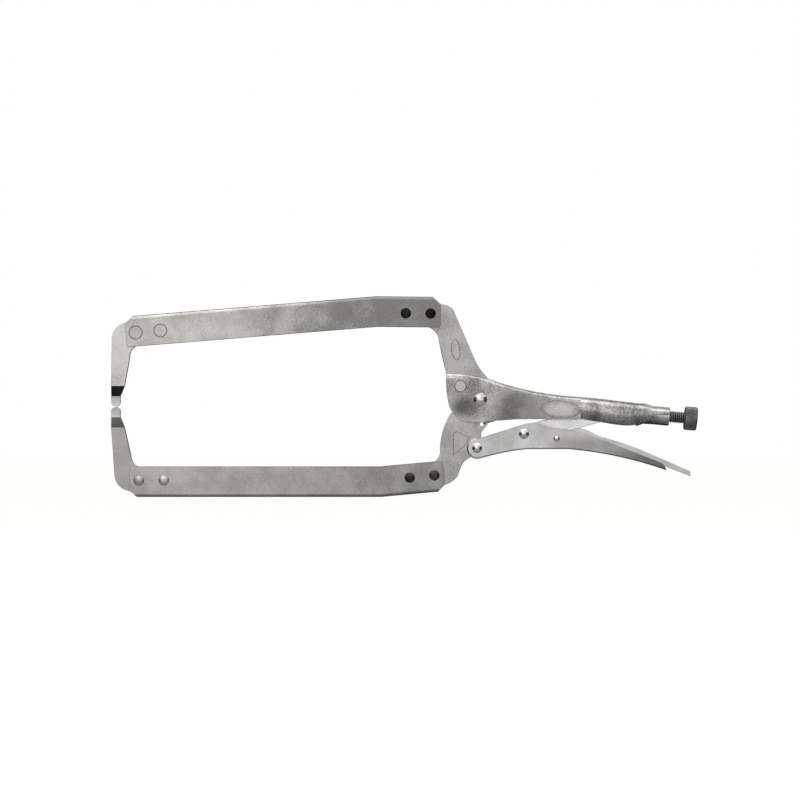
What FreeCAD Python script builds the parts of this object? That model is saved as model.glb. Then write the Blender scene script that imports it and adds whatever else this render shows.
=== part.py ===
import FreeCAD, Part
import math
import os

V = FreeCAD.Vector

# An 18 inch locking C-clamp, in millimetres.
# +X runs from the jaw tips to the adjusting knob, +Z from the lower arm to the upper arm.
# The origin is where the two jaw tips meet, in the middle of the tool's thickness.
# Outlines are drawn in the XZ plane and pieces are thick along Y, centred on y = 0.

# ---- sheet and forging stock ----
forging_thick = 9.0        # thickness of the jaw tips' and knees' forgings
arm_sheet = 2.0            # sheet that the arms are folded from
upper_sheet = 2.0          # sheet of the upper handle
lower_sheet = 1.8          # sheet of the lower handle
lever_sheet = 1.4          # sheet of the release lever
lower_edge_chamfer = 1.0   # outside of the lower handle's folds

# ---- clearances ----
channel_fit = 0.05         # each side of a forging riveted into an arm
side_play = 0.1            # each side of a forging that turns between two cheeks
lever_play = 0.3           # each side of the lever inside the lower handle
slot_play = 0.6            # each side of the link in the grip's slot
bore_play = 0.05           # radial running clearance of a pin in its bore
tip_gap = 0.3              # gap left between the two closed jaw tips
boss_gap = 0.5             # gap between the two knees round the main pivot
past_outline = 40.0        # how far a cutting block reaches past the pieces

link_thick = forging_thick - 2 * (lever_play + lever_sheet)   # flat bar of the toggle link

# ---- arms: two folded channels of one shape ----
arm_front_length = 189.5   # web, from its front end to the bend
arm_rear_length = 44.5     # web, from the bend to its rear end
arm_height = 23.6
arm_bend = 5.2             # degrees, turned towards the throat
arm_edge_radius = 2.4      # outside of the fold between web and flange
arm_overhang = 5.8         # the flanges run past the web's ends by this, with a 45 degree corner
arm_corner_radius = 2.0
upper_arm_tilt = 4.65      # degrees that the upper arm's front part rises to the rear
upper_arm_start = V(12.8, 0, 70.3)
lower_arm_start = V(16.3, 0, -70.0)

# ---- jaw tips ----
tip_width = 7.2
tip_thick = 6.0
tip_length = 8.1           # blunt end, up to the sloping facets
facet_length = 8.0         # where the forging thins down to the tip
leg_root_width = 10.4      # width of the leg where the facets begin
shank_length = 36.0        # of each forging inside its arm
shank_inset = 0.8          # the shank stops this far inside the flanges' edges

# ---- rivets ----
rivet_pitch = 19.2
rivet_end_distance = 7.6   # first rivet, from the flanges' end
rivet_line = 0.55          # rivets lie at this share of the arm's height, from the web
flush_rivet_radius = 5.0
flush_rivet_proud = 0.15
dome_rivet_radius = 4.1
dome_rivet_shank = 3.1
dome_rivet_height = 1.0

# ---- pivots, placed from the main pivot ----
main_pivot_from_arm = V(36.5, 0, -79.6)   # from the rear end of the upper arm's web
handle_pivot_from_main = V(-2.4, 0, -37.7)
link_pivot_from_main = V(33.9, 0, -26.7)
lever_pin_from_main = V(59.3, 0, -30.3)
main_pivot_radius = 3.8
main_pivot_head = main_pivot_radius + 1.5
small_pivot_radius = 2.8
small_pivot_head = small_pivot_radius + 1.1
lever_pin_radius = 1.6
lever_pin_head = lever_pin_radius + 0.8
head_height = 1.5
knee_rivet_at = V(-15.3, 0, 10.3)
knee_rivet_radius = 4.2

# ---- knees ----
main_boss_radius = main_pivot_radius + 5.2
handle_boss_radius = small_pivot_radius + 4.8
lug_thick = 3.5
spring_hole_radius = 1.5
spring_hole_from_main = V(1.3, 0, -19.2)

# ---- upper handle ----
spine_start = 6.0          # the folded spine begins this far behind the main pivot
grip_start = 62.0          # the round grip begins inside the flat cheeks
channel_end = 78.0         # the flat cheeks end here
slot_end_behind_main = 121.0
slot_roof = 12.0           # the slot reaches up to this far below the main pivot
grip_end = 127.0           # round grip ends here and necks down to the sleeve
spine_radius = 4.5

# ---- adjusting screw and its sleeve ----
screw_tilt = -5.0          # degrees: the screw points slightly down to the rear
link_end_behind_main = 99.1
link_end_below_main = 9.2
screw_radius = 4.7
grip_half_width = screw_radius + 2.6
grip_end_half_height = screw_radius + 3.25
grip_end_lift = 0.6        # of its middle, above the screw's axis
link_end_radius = 4.5
link_end_gap = 9.5         # from the link's end to the screw's nose
sleeve_start = 34.6        # along the screw's axis, from the link's end
sleeve_end = 47.9
sleeve_radius = screw_radius + 2.4
knob_start = 59.7
knob_length = 9.8
knob_chamfer = 0.9
knob_radius = screw_radius + 4.6
knob_bore_radius = screw_radius - 1.5
stop_ring_radius = screw_radius + 0.4
stop_ring_width = 1.2
stop_groove_radius = screw_radius - 1.0
stop_ring_from_nose = 1.4
screw_nose = link_end_radius + link_end_gap   # along the screw's axis

# ---- toggle link and release lever ----
link_half_height = 6.3
heel_from_pivot = 34.1
heel_depth = 6.8
heel_step = 1.7
lever_nose_radius = 4.8
bridge_start = 6.0         # of the lever's bridge, behind its pin
bridge_length = 5.0
bridge_height = 3.0        # its underside, above the pin

# ---- tension spring ----
spring_wire_radius = 0.6
spring_coil_radius = 2.5
spring_hook_length = 20.0  # straight wire from the lug to the coil, hidden by the cheek
spring_tail_length = 6.3
spring_cross_radius = 0.75 # of the bent end that lies across each hole
spring_anchor_from_main = V(59.0, 0, -2.4)
anchor_tab_thick = 1.6
anchor_tab_half_width = 2.6
anchor_tab_drop = 3.0      # the tab reaches this far below its hole
anchor_tab_top = 2.9       # and to this far above the main pivot, into the spine
anchor_hole_radius = 1.1


# ---------------------------------------------------------------- helpers

def frame_at(origin, tilt, inward=1.0):
    """A function that turns (u along, v inward) into a point of the XZ plane."""
    turn = math.radians(tilt)
    def place(u, v):
        w = v * inward
        x = origin.x + u * math.cos(turn) - w * math.sin(turn)
        z = origin.z + u * math.sin(turn) + w * math.cos(turn)
        return V(x, 0, z)
    return place


def polar(centre, radius, degrees):
    turn = math.radians(degrees)
    return centre + V(radius * math.cos(turn), 0, radius * math.sin(turn))


def outline(start, *steps):
    """A closed wire: each step is [end] for a straight run or [through, end] for an arc."""
    edges = []
    here = start
    for step in steps:
        end = step[-1]
        if len(step) == 2:
            edges.append(Part.Arc(here, step[0], end).toShape())
        else:
            edges.append(Part.LineSegment(here, end).toShape())
        here = end
    if not here.isEqual(start, 1e-6):
        edges.append(Part.LineSegment(here, start).toShape())
    return Part.Wire(edges)


def slab(wire, thick, middle=0.0):
    """The flat piece inside a wire, thick along Y about y = middle."""
    face = Part.Face(wire)
    face.translate(V(0, middle - thick / 2, 0))
    return face.extrude(V(0, thick, 0))


def cross_rod(centre, radius, length, middle=0.0):
    """A round bar along Y."""
    start = V(centre.x, middle - length / 2, centre.z)
    return Part.makeCylinder(radius, length, start, V(0, 1, 0))


def rod_between(start, end, radius):
    run = end - start
    return Part.makeCylinder(radius, run.Length, start, run)


def block(low, high):
    size = high - low
    return Part.makeBox(size.x, size.y, size.z, low)


def dome(centre, radius, height, face_y, side):
    """A domed head whose flat side sits on the plane y = face_y."""
    ball_radius = (radius * radius + height * height) / (2 * height)
    ball_y = face_y + side * (height - ball_radius)
    ball = Part.makeSphere(ball_radius, V(centre.x, ball_y, centre.z))
    cap = cross_rod(centre, radius, height, face_y + side * height / 2)
    return ball.common(cap)


def headed_pin(centre, radius, head_radius, height, grip):
    """A pin with a domed head on each side of a stack that is grip thick."""
    pin = cross_rod(centre, radius, grip)
    for side in (-1, 1):
        pin = pin.fuse(dome(centre, head_radius, height, side * grip / 2, side))
    return pin.removeSplitter()


def long_edges_at(shape, half_width, longer_than, keep):
    """Edges on the planes y = +-half_width that are long enough and pass keep(point)."""
    found = []
    for edge in shape.Edges:
        middle = edge.valueAt((edge.FirstParameter + edge.LastParameter) / 2)
        on_side = all(abs(abs(vertex.Y) - half_width) < 1e-4 for vertex in edge.Vertexes)
        if on_side and edge.Length > longer_than and keep(middle):
            found.append(edge)
    return found


def write(name, shape):
    shape.exportStep("parts/" + name + ".step")


# ---------------------------------------------------------------- shared places

arm_width = forging_thick + 2 * channel_fit + 2 * arm_sheet
cheek_inside = forging_thick + 2 * side_play
upper_width = cheek_inside + 2 * upper_sheet
lower_width = cheek_inside + 2 * lower_sheet

upper_front = frame_at(upper_arm_start, upper_arm_tilt, -1)
upper_bend_point = upper_front(arm_front_length, 0)
upper_rear_tilt = upper_arm_tilt - arm_bend
upper_end_point = frame_at(upper_bend_point, upper_rear_tilt, -1)(arm_rear_length, 0)
upper_end = frame_at(upper_end_point, upper_rear_tilt, -1)

lower_front = frame_at(lower_arm_start, 0, 1)
lower_bend_point = lower_front(arm_front_length, 0)
lower_end_point = frame_at(lower_bend_point, arm_bend, 1)(arm_rear_length, 0)
lower_end = frame_at(lower_end_point, arm_bend, 1)

main_pivot = upper_end_point + main_pivot_from_arm
handle_pivot = main_pivot + handle_pivot_from_main
link_pivot = main_pivot + link_pivot_from_main
lever_pin_at = main_pivot + lever_pin_from_main
link_end_at = main_pivot + V(link_end_behind_main, 0, -link_end_below_main)
spring_hole_at = main_pivot + spring_hole_from_main
spring_anchor_at = main_pivot + spring_anchor_from_main

by_main = frame_at(main_pivot, 0)
by_handle_pivot = frame_at(handle_pivot, 0)
by_lever_pin = frame_at(lever_pin_at, 0)
along_screw = frame_at(link_end_at, screw_tilt)
screw_axis = along_screw(1, 0) - link_end_at

shank_bottom = arm_height - shank_inset
rivet_depth = arm_height * rivet_line
first_rivet = rivet_end_distance - arm_overhang


def rivet_places(place, direction):
    """The two rivet centres at an arm's end, counted into the arm from its web's end."""
    near = place(direction * first_rivet, rivet_depth)
    far = place(direction * (first_rivet + rivet_pitch), rivet_depth)
    return [near, far]


upper_front_rivet_places = rivet_places(upper_front, 1)
lower_front_rivet_places = rivet_places(lower_front, 1)
upper_rear_rivet_places = rivet_places(upper_end, -1)
lower_rear_rivet_places = rivet_places(lower_end, -1)


def with_holes(shape, centres, radius):
    for centre in centres:
        shape = shape.cut(cross_rod(centre, radius, 4 * forging_thick))
    return shape


# ---------------------------------------------------------------- arms

def arm(front, end, front_rivets, front_rivet_radius, rear_rivets):
    """A folded channel: web on the outside of the C, one flange on each side."""
    bend_setback = arm_height * math.tan(math.radians(arm_bend) / 2)
    sheet_setback = arm_sheet * math.tan(math.radians(arm_bend) / 2)
    corner = arm_corner_radius
    round_off = corner * (1 - math.sqrt(0.5))
    side = outline(
        front(0, 0),
        [front(arm_front_length, 0)],
        [end(0, 0)],
        [end(arm_overhang, arm_overhang)],
        [end(arm_overhang, arm_height - corner)],
        [end(arm_overhang - round_off, arm_height - round_off), end(arm_overhang - corner, arm_height)],
        [front(arm_front_length - bend_setback, arm_height)],
        [front(corner - arm_overhang, arm_height)],
        [front(round_off - arm_overhang, arm_height - round_off), front(-arm_overhang, arm_height - corner)],
        [front(-arm_overhang, arm_overhang)])
    inside = outline(
        front(-2 * arm_overhang, arm_sheet),
        [front(arm_front_length - sheet_setback, arm_sheet)],
        [end(2 * arm_overhang, arm_sheet)],
        [end(2 * arm_overhang, 2 * arm_height)],
        [front(-2 * arm_overhang, 2 * arm_height)])
    channel = slab(side, arm_width)
    inward = front(0, 1) - front(0, 0)
    def on_web(point):
        from_front = (point - front(0, 0)).dot(inward)
        from_end = (point - end(0, 0)).dot(end(0, 1) - end(0, 0))
        return min(abs(from_front), abs(from_end)) < 0.01
    folds = long_edges_at(channel, arm_width / 2, arm_overhang * 2, on_web)
    channel = channel.makeFillet(arm_edge_radius, folds)
    channel = channel.cut(slab(inside, arm_width - 2 * arm_sheet))
    channel = with_holes(channel, front_rivets, front_rivet_radius)
    return with_holes(channel, rear_rivets, dome_rivet_shank)


# ---------------------------------------------------------------- jaw tips

def jaw_tip(front, side, rivets, rivet_radius):
    """A forged L: a shank riveted into the arm and a leg that ends in a blunt tip."""
    half_tip = tip_width / 2
    facet_end = tip_length + facet_length
    leg_outside = side_point(-half_tip, facet_end, side)
    shape = outline(
        side_point(-half_tip, half_tip + tip_gap, side),
        [side_point(0, tip_gap / 2, side), side_point(half_tip, half_tip + tip_gap, side)],
        [side_point(half_tip, tip_length, side)],
        [side_point(leg_root_width - half_tip, facet_end, side)],
        [front(-4.6, arm_height + 8.4)],
        [front(-2.4, arm_height + 2.4), front(4.0, shank_bottom)],
        [front(shank_length, shank_bottom)],
        [front(shank_length, arm_sheet)],
        [front(-1.6, arm_sheet)],
        [front(-5.6, 4.6)],
        [front(-14.2, 9.2), front(-17.3, 17.0)],
        [leg_outside])
    forging = slab(shape, forging_thick)
    for y_side in (-1, 1):
        forging = forging.cut(facet_cutter(side, y_side))
    return with_holes(forging, rivets, rivet_radius)


def side_point(x, z, side):
    """A point beside the jaw tips: side is +1 for the upper jaw and -1 for the lower."""
    return V(x, 0, side * z)


def facet_cutter(side, y_side):
    """Takes one cheek of the leg down to the tip's thickness, with a sloping facet."""
    full = y_side * forging_thick / 2
    thin = y_side * tip_thick / 2
    outside = y_side * forging_thick
    reach = 2 * tip_width
    profile = [
        V(-reach, full, side * (tip_length + facet_length)),
        V(-reach, thin, side * tip_length),
        V(-reach, thin, -side * tip_length),
        V(-reach, outside, -side * tip_length),
        V(-reach, outside, side * (tip_length + facet_length))]
    face = Part.Face(Part.makePolygon(profile + [profile[0]]))
    return face.extrude(V(2 * reach, 0, 0))


# ---------------------------------------------------------------- knees

def fixed_knee():
    """The upper knee: riveted into the upper arm and between the upper handle's cheeks."""
    hollow = main_boss_radius + boss_gap
    rear_edge = spine_start - 0.4
    hollow_end = math.degrees(math.acos(rear_edge / hollow))
    shape = outline(
        upper_end(-shank_length, arm_sheet),
        [upper_end(1.6, arm_sheet)],
        [upper_end(5.4, 5.0)],
        [upper_end(10.0, 6.2)],
        [upper_end(14.6, 8.6), upper_end(17.0, 12.6)],
        [by_main(-5.0, 33.0)],
        [by_main(-0.6, 24.6), by_main(rear_edge, 17.2)],
        [polar(main_pivot, hollow, hollow_end)],
        [polar(main_pivot, hollow, 100), polar(main_pivot, hollow, 165)],
        [by_main(-24.4, 5.0)],
        [by_main(-26.4, 21.2)],
        [by_main(-30.3, 36.7), by_main(-32.3, 48.0)],
        [upper_end(0.6, arm_height + 2.2), upper_end(-6.2, shank_bottom)],
        [upper_end(-shank_length, shank_bottom)])
    knee = slab(shape, forging_thick)
    knee = with_holes(knee, upper_rear_rivet_places, dome_rivet_shank)
    return with_holes(knee, [main_pivot + knee_rivet_at], knee_rivet_radius)


def moving_knee():
    """The lower knee: turns on the main pivot and carries the lower handle's pivot."""
    boss = main_boss_radius
    end_boss = handle_boss_radius
    shape = outline(
        lower_end(-shank_length, arm_sheet),
        [lower_end(1.6, arm_sheet)],
        [lower_end(5.6, 4.8)],
        [lower_end(12.0, 7.2), lower_end(16.4, 10.8)],
        [lower_end(18.6, 16.0), lower_end(22.6, 21.8)],
        [polar(handle_pivot, end_boss, -122)],
        [polar(handle_pivot, end_boss, -35), polar(handle_pivot, end_boss, 66)],
        [by_main(1.0, -25.6)],
        [by_main(5.9, -19.4)],
        [polar(main_pivot, boss, -40)],
        [polar(main_pivot, boss, 90), polar(main_pivot, boss, 197)],
        [by_main(-13.5, -4.2)],
        [by_main(-22.6, -10.5)],
        [by_main(-29.2, -25.4), lower_end(4.4, arm_height + 9.2)],
        [lower_end(2.6, arm_height + 2.8), lower_end(-2.6, shank_bottom)],
        [lower_end(-shank_length, shank_bottom)])
    knee = slab(shape, forging_thick)
    lug_area = outline(
        by_main(-4.4, -16.6),
        [by_main(-2.6, -22.8), by_main(1.0, -25.9)],
        [by_main(12.0, -26.0)],
        [by_main(12.0, -11.4)],
        [by_main(-3.0, -11.4)])
    pocket_depth = (forging_thick - lug_thick) / 2
    for side in (-1, 1):
        middle = side * (lug_thick + pocket_depth) / 2
        knee = knee.cut(slab(lug_area, pocket_depth, middle))
    knee = with_holes(knee, lower_rear_rivet_places, dome_rivet_shank)
    knee = with_holes(knee, [spring_hole_at], spring_hole_radius)
    knee = with_holes(knee, [main_pivot], main_pivot_radius + bore_play)
    return with_holes(knee, [handle_pivot], small_pivot_radius + bore_play)


# ---------------------------------------------------------------- upper handle

def handle_side(drop, reach_below):
    """The upper handle's side, with its top edge lowered by drop, for the skin or the hollow."""
    return outline(
        by_main(-26.2, 20.8 - drop),
        [by_main(-9.0, 19.9 - drop), by_main(spine_start, 16.2 - drop)],
        [by_main(40.0, 6.6 - drop), by_main(channel_end, 1.9 - drop)],
        [by_main(channel_end, -15.2 - reach_below)],
        [by_main(28.0, -15.4 - reach_below)],
        [by_main(12.0, -16.6 - reach_below), by_main(-5.0, -18.0 - reach_below)],
        [by_main(-17.4, -14.0 - reach_below), by_main(-24.0, -5.0 - reach_below)],
        [by_main(-25.9, 6.0), by_main(-26.2, 20.8 - drop)])


def oval(place_on_axis, half_width, half_height):
    """An upright ellipse square to the screw's axis."""
    upright = V(-screw_axis.z, 0, screw_axis.x)
    tall = half_height >= half_width
    long_way = upright if tall else V(0, 1, 0)
    ellipse = Part.Ellipse(place_on_axis + long_way * max(half_width, half_height),
                           place_on_axis + (V(0, 1, 0) if tall else upright) * min(half_width, half_height),
                           place_on_axis)
    return Part.Wire([ellipse.toShape()])


def grip_tube(shrink):
    """The round rear grip, from the flat cheeks to the sleeve, or its hollow when shrunk.

    Each station is (behind the main pivot, half width, half height, lift above the screw's axis).
    """
    stations = (
        (grip_start, upper_width / 2 - 0.5, 7.6, 1.3),
        (channel_end, grip_half_width - 0.4, 8.9, 0.2),
        (96.0, grip_half_width, 9.6, -0.5),
        (117.0, grip_half_width, 9.5, -1.1),
        (grip_end, grip_half_width, grip_end_half_height, grip_end_lift))
    rings = []
    for behind_main, half_width, half_height, lift in stations:
        centre = along_screw(behind_main - link_end_behind_main, lift)
        rings.append(oval(centre, half_width - shrink, half_height - shrink))
    return Part.makeLoft(rings, True)


def upper_handle():
    """One folded sheet: two cheeks under a round spine, then a round grip and a rolled sleeve."""
    cheeks = slab(handle_side(0, 0), upper_width)
    def on_spine(point):
        from_main = point - main_pivot
        above_axis = from_main.z > -4.0
        return above_axis and from_main.x > spine_start and from_main.x < channel_end - 1
    spine = long_edges_at(cheeks, upper_width / 2, 10.0, on_spine)
    cheeks = cheeks.makeFillet(spine_radius, spine)
    hollow = slab(handle_side(upper_sheet, 2 * main_boss_radius), cheek_inside)
    front_slot = block(
        main_pivot + V(-past_outline, -cheek_inside / 2, -past_outline),
        main_pivot + V(spine_start, cheek_inside / 2, past_outline))
    cheeks = cheeks.cut(hollow).cut(front_slot)

    neck_start = along_screw(grip_end - link_end_behind_main, grip_end_lift)
    neck_and_sleeve = Part.makeLoft([
        oval(neck_start, grip_half_width, grip_end_half_height),
        oval(along_screw(sleeve_start, 0), sleeve_radius, sleeve_radius),
        oval(along_screw(sleeve_end, 0), sleeve_radius, sleeve_radius)], True, True)
    rear = grip_tube(0).fuse(neck_and_sleeve)
    rear = rear.cut(grip_tube(upper_sheet))
    slot_half_width = link_thick / 2 + slot_play
    slot_start = main_pivot + V(grip_start - upper_sheet, -slot_half_width, -past_outline)
    slot_end = main_pivot + V(slot_end_behind_main, slot_half_width, -slot_roof)
    rear = rear.cut(block(slot_start, slot_end))
    rear = rear.cut(hollow)
    handle = cheeks.fuse(rear)
    screw_hole = rod_between(along_screw(screw_nose, 0), along_screw(knob_start, 0), screw_radius + bore_play)
    handle = handle.cut(screw_hole)
    handle = with_holes(handle, [main_pivot], main_pivot_radius)
    handle = with_holes(handle, [main_pivot + knee_rivet_at], knee_rivet_radius)

    tab_top = main_pivot + V(spring_anchor_from_main.x + anchor_tab_thick / 2, anchor_tab_half_width,
                             anchor_tab_top)
    tab_low = spring_anchor_at - V(anchor_tab_thick / 2, anchor_tab_half_width, anchor_tab_drop)
    tab = block(tab_low, tab_top)
    hook_hole = Part.makeCylinder(anchor_hole_radius, 4 * anchor_tab_thick,
                                  spring_anchor_at - V(2 * anchor_tab_thick, 0, 0), V(1, 0, 0))
    return handle.fuse(tab.cut(hook_hole)).removeSplitter()


# ---------------------------------------------------------------- lower handle

def lower_handle():
    """A folded channel, open upwards, whose cheeks hold the moving knee at the front."""
    nose = small_pivot_head + 4.0
    side = outline(
        by_handle_pivot(2.0, nose - 0.3),
        [by_handle_pivot(33.3, 17.3)],
        [by_handle_pivot(43.4, 19.3), by_handle_pivot(53.0, 17.0)],
        [by_handle_pivot(82.0, 11.6)],
        [by_handle_pivot(118.0, -1.8)],
        [by_handle_pivot(150.0, -14.2)],
        [by_handle_pivot(150.0, -18.3)],
        [by_handle_pivot(108.0, -6.4), by_handle_pivot(70.5, -0.8)],
        [by_handle_pivot(38.0, -0.9)],
        [by_handle_pivot(20.0, -3.7), by_handle_pivot(3.0, -nose)],
        [by_handle_pivot(-nose, -0.4), by_handle_pivot(2.0, nose - 0.3)])
    inside = outline(
        by_handle_pivot(8.8, -20.0),
        [by_handle_pivot(8.8, -5.6 + lower_sheet)],
        [by_handle_pivot(21.0, -3.2 + lower_sheet), by_handle_pivot(38.0, -0.9 + lower_sheet)],
        [by_handle_pivot(70.5, -0.8 + lower_sheet)],
        [by_handle_pivot(108.0, -6.4 + lower_sheet), by_handle_pivot(146.9, -17.2 + lower_sheet)],
        [by_handle_pivot(160.0, -19.0 + lower_sheet)],
        [by_handle_pivot(160.0, 40.0)],
        [by_handle_pivot(-20.0, 40.0)],
        [by_handle_pivot(-20.0, -20.0)])
    beyond_tail = outline(
        by_handle_pivot(138.6, 0.0),
        [by_handle_pivot(138.6, -9.8)],
        [by_handle_pivot(144.0, -12.4), by_handle_pivot(146.5, -15.8)],
        [by_handle_pivot(146.5, -30.0)],
        [by_handle_pivot(160.0, -30.0)],
        [by_handle_pivot(160.0, 0.0)])
    channel = slab(side, lower_width)
    def on_web(point):
        from_pivot = point - handle_pivot
        return 12.0 < from_pivot.x < 118.0 and from_pivot.z < 1.0
    folds = long_edges_at(channel, lower_width / 2, 14.0, on_web)
    channel = channel.makeChamfer(lower_edge_chamfer, folds)
    channel = channel.cut(slab(inside, cheek_inside)).cut(slab(beyond_tail, 2 * lower_width))
    channel = with_holes(channel, [handle_pivot, link_pivot], small_pivot_radius)
    return with_holes(channel, [lever_pin_at], lever_pin_radius)


# ---------------------------------------------------------------- toggle link

def toggle_link():
    """A flat bar from the lower handle to the screw's nose, with a heel that the lever lifts."""
    run = link_end_at - link_pivot
    tilt = math.degrees(math.atan2(run.z, run.x))
    by_link = frame_at(link_pivot, tilt)
    half = link_half_height
    end_x = run.Length
    end_half = link_end_radius
    shape = outline(
        by_link(0, half),
        [by_link(end_x - 16.0, half)],
        [by_link(end_x, end_half)],
        [by_link(end_x + end_half, 0), by_link(end_x, -end_half)],
        [by_link(end_x - 8.0, -heel_depth + 0.2)],
        [by_link(heel_from_pivot, -heel_depth)],
        [by_link(heel_from_pivot - 1.8, heel_step - heel_depth)],
        [by_link(9.0, heel_step - heel_depth)],
        [by_link(0, -half)],
        [by_link(-half, 0), by_link(0, half)])
    return with_holes(slab(shape, link_thick), [link_pivot], small_pivot_radius + bore_play)


# ---------------------------------------------------------------- release lever

def release_lever():
    """A small channel nested in the lower handle, whose bridge lifts the link's heel."""
    nose = lever_nose_radius
    width = cheek_inside - 2 * lever_play
    side = outline(
        by_lever_pin(0, nose),
        [by_lever_pin(11.0, 6.3)],
        [by_lever_pin(15.0, 7.6), by_lever_pin(19.0, 8.0)],
        [by_lever_pin(24.0, 6.3), by_lever_pin(32.0, 2.2)],
        [by_lever_pin(50.0, -3.0)],
        [by_lever_pin(64.6, -8.4)],
        [by_lever_pin(103.2, -25.0)],
        [by_lever_pin(103.9, -29.2)],
        [by_lever_pin(85.3, -22.0)],
        [by_lever_pin(45.0, -10.2), by_lever_pin(9.0, -5.3)],
        [by_lever_pin(0, -nose)],
        [by_lever_pin(-nose, 0), by_lever_pin(0, nose)])
    sheet = lever_sheet
    inside = outline(
        by_lever_pin(-10.0, -nose + sheet),
        [by_lever_pin(0, -nose + sheet)],
        [by_lever_pin(9.0, -5.3 + sheet)],
        [by_lever_pin(45.0, -10.2 + sheet), by_lever_pin(85.3, -22.0 + sheet)],
        [by_lever_pin(120.0, -33.4 + sheet)],
        [by_lever_pin(120.0, 20.0)],
        [by_lever_pin(-10.0, 20.0)])
    lever = slab(side, width).cut(slab(inside, width - 2 * sheet))
    bridge = block(
        lever_pin_at + V(bridge_start, -width / 2 + sheet / 2, bridge_height),
        lever_pin_at + V(bridge_start + bridge_length, width / 2 - sheet / 2, bridge_height + sheet))
    lever = lever.fuse(bridge).removeSplitter()
    return with_holes(lever, [lever_pin_at], lever_pin_radius + bore_play)


# ---------------------------------------------------------------- screw, knob, stop ring

def adjusting_screw():
    groove = screw_nose + stop_ring_from_nose
    screw = rod_between(along_screw(screw_nose, 0), along_screw(knob_start, 0), screw_radius)
    screw = screw.fuse(rod_between(along_screw(knob_start, 0), along_screw(knob_start + knob_length, 0),
                                   knob_bore_radius))
    groove_ring = rod_between(along_screw(groove, 0), along_screw(groove + stop_ring_width, 0), screw_radius + 1)
    groove_core = rod_between(along_screw(groove, 0), along_screw(groove + stop_ring_width, 0),
                              stop_groove_radius)
    return screw.cut(groove_ring.cut(groove_core)).removeSplitter()


def screw_knob():
    knob = rod_between(along_screw(knob_start, 0), along_screw(knob_start + knob_length, 0), knob_radius)
    rims = [edge for edge in knob.Edges if edge.Closed]
    knob = knob.makeChamfer(knob_chamfer, rims)
    hole = rod_between(along_screw(knob_start - 1, 0), along_screw(knob_start + knob_length + 1, 0),
                       knob_bore_radius)
    return knob.cut(hole)


def screw_stop_ring():
    groove = screw_nose + stop_ring_from_nose
    inner = groove + bore_play
    outer = groove + stop_ring_width - bore_play
    ring = rod_between(along_screw(inner, 0), along_screw(outer, 0), stop_ring_radius)
    return ring.cut(rod_between(along_screw(inner - 1, 0), along_screw(outer + 1, 0),
                                stop_groove_radius + bore_play))


# ---------------------------------------------------------------- tension spring

def tension_spring():
    """The coil as one round bar, with a hook through the knee's lug and one through the tab."""
    run = spring_anchor_at - spring_hole_at
    step = run * (1 / run.Length)
    wire = spring_wire_radius
    coil_start = spring_hole_at + step * spring_hook_length
    coil_end = spring_anchor_at - step * spring_tail_length
    coil = rod_between(coil_start, coil_end, spring_coil_radius)
    beside_lug = V(0, lug_thick / 2 + spring_cross_radius + 0.1, 0)
    hook_run = rod_between(spring_hole_at + beside_lug, coil_start + beside_lug + step, wire)
    hook_cross = cross_rod(spring_hole_at, spring_cross_radius, 2 * (beside_lug.y + spring_cross_radius))
    tail_end = spring_anchor_at + step * 1.5 * anchor_tab_thick
    tail_run = rod_between(coil_end - step, tail_end, wire)
    tail_cross = cross_rod(tail_end, spring_cross_radius, 6 * wire)
    return coil.multiFuse([hook_run, hook_cross, tail_run, tail_cross]).removeSplitter()


# ---------------------------------------------------------------- rivets and pins

def flush_rivets(centres):
    length = arm_width + 2 * flush_rivet_proud
    return Part.makeCompound([cross_rod(centre, flush_rivet_radius, length) for centre in centres])


def domed_rivets(centres):
    return Part.makeCompound([
        headed_pin(centre, dome_rivet_shank, dome_rivet_radius, dome_rivet_height, arm_width)
        for centre in centres])


# ---------------------------------------------------------------- the tool

def main():
    os.makedirs("parts", exist_ok=True)
    write("upper_arm", arm(upper_front, upper_end, upper_front_rivet_places, flush_rivet_radius,
                           upper_rear_rivet_places))
    write("lower_arm", arm(lower_front, lower_end, lower_front_rivet_places, dome_rivet_shank,
                           lower_rear_rivet_places))
    write("upper_jaw_tip", jaw_tip(upper_front, 1, upper_front_rivet_places, flush_rivet_radius))
    write("lower_jaw_tip", jaw_tip(lower_front, -1, lower_front_rivet_places, dome_rivet_shank))
    write("fixed_jaw_knee", fixed_knee())
    write("moving_jaw_knee", moving_knee())
    write("upper_front_rivets", flush_rivets(upper_front_rivet_places))
    write("lower_front_rivets", domed_rivets(lower_front_rivet_places))
    write("upper_rear_rivets", domed_rivets(upper_rear_rivet_places))
    write("lower_rear_rivets", domed_rivets(lower_rear_rivet_places))
    write("upper_handle", upper_handle())
    write("knee_rivet", cross_rod(main_pivot + knee_rivet_at, knee_rivet_radius,
                                  upper_width + 2 * flush_rivet_proud))
    write("main_pivot", headed_pin(main_pivot, main_pivot_radius, main_pivot_head, head_height, upper_width))
    write("handle_pivot", headed_pin(handle_pivot, small_pivot_radius, small_pivot_head, head_height,
                                     lower_width))
    write("link_pivot", headed_pin(link_pivot, small_pivot_radius, small_pivot_head, head_height, lower_width))
    write("lever_pin", headed_pin(lever_pin_at, lever_pin_radius, lever_pin_head, head_height / 2, lower_width))
    write("lower_handle", lower_handle())
    write("toggle_link", toggle_link())
    write("release_lever", release_lever())
    write("tension_spring", tension_spring())
    write("adjusting_screw", adjusting_screw())
    write("screw_knob", screw_knob())
    write("screw_stop_ring", screw_stop_ring())


main()
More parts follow.
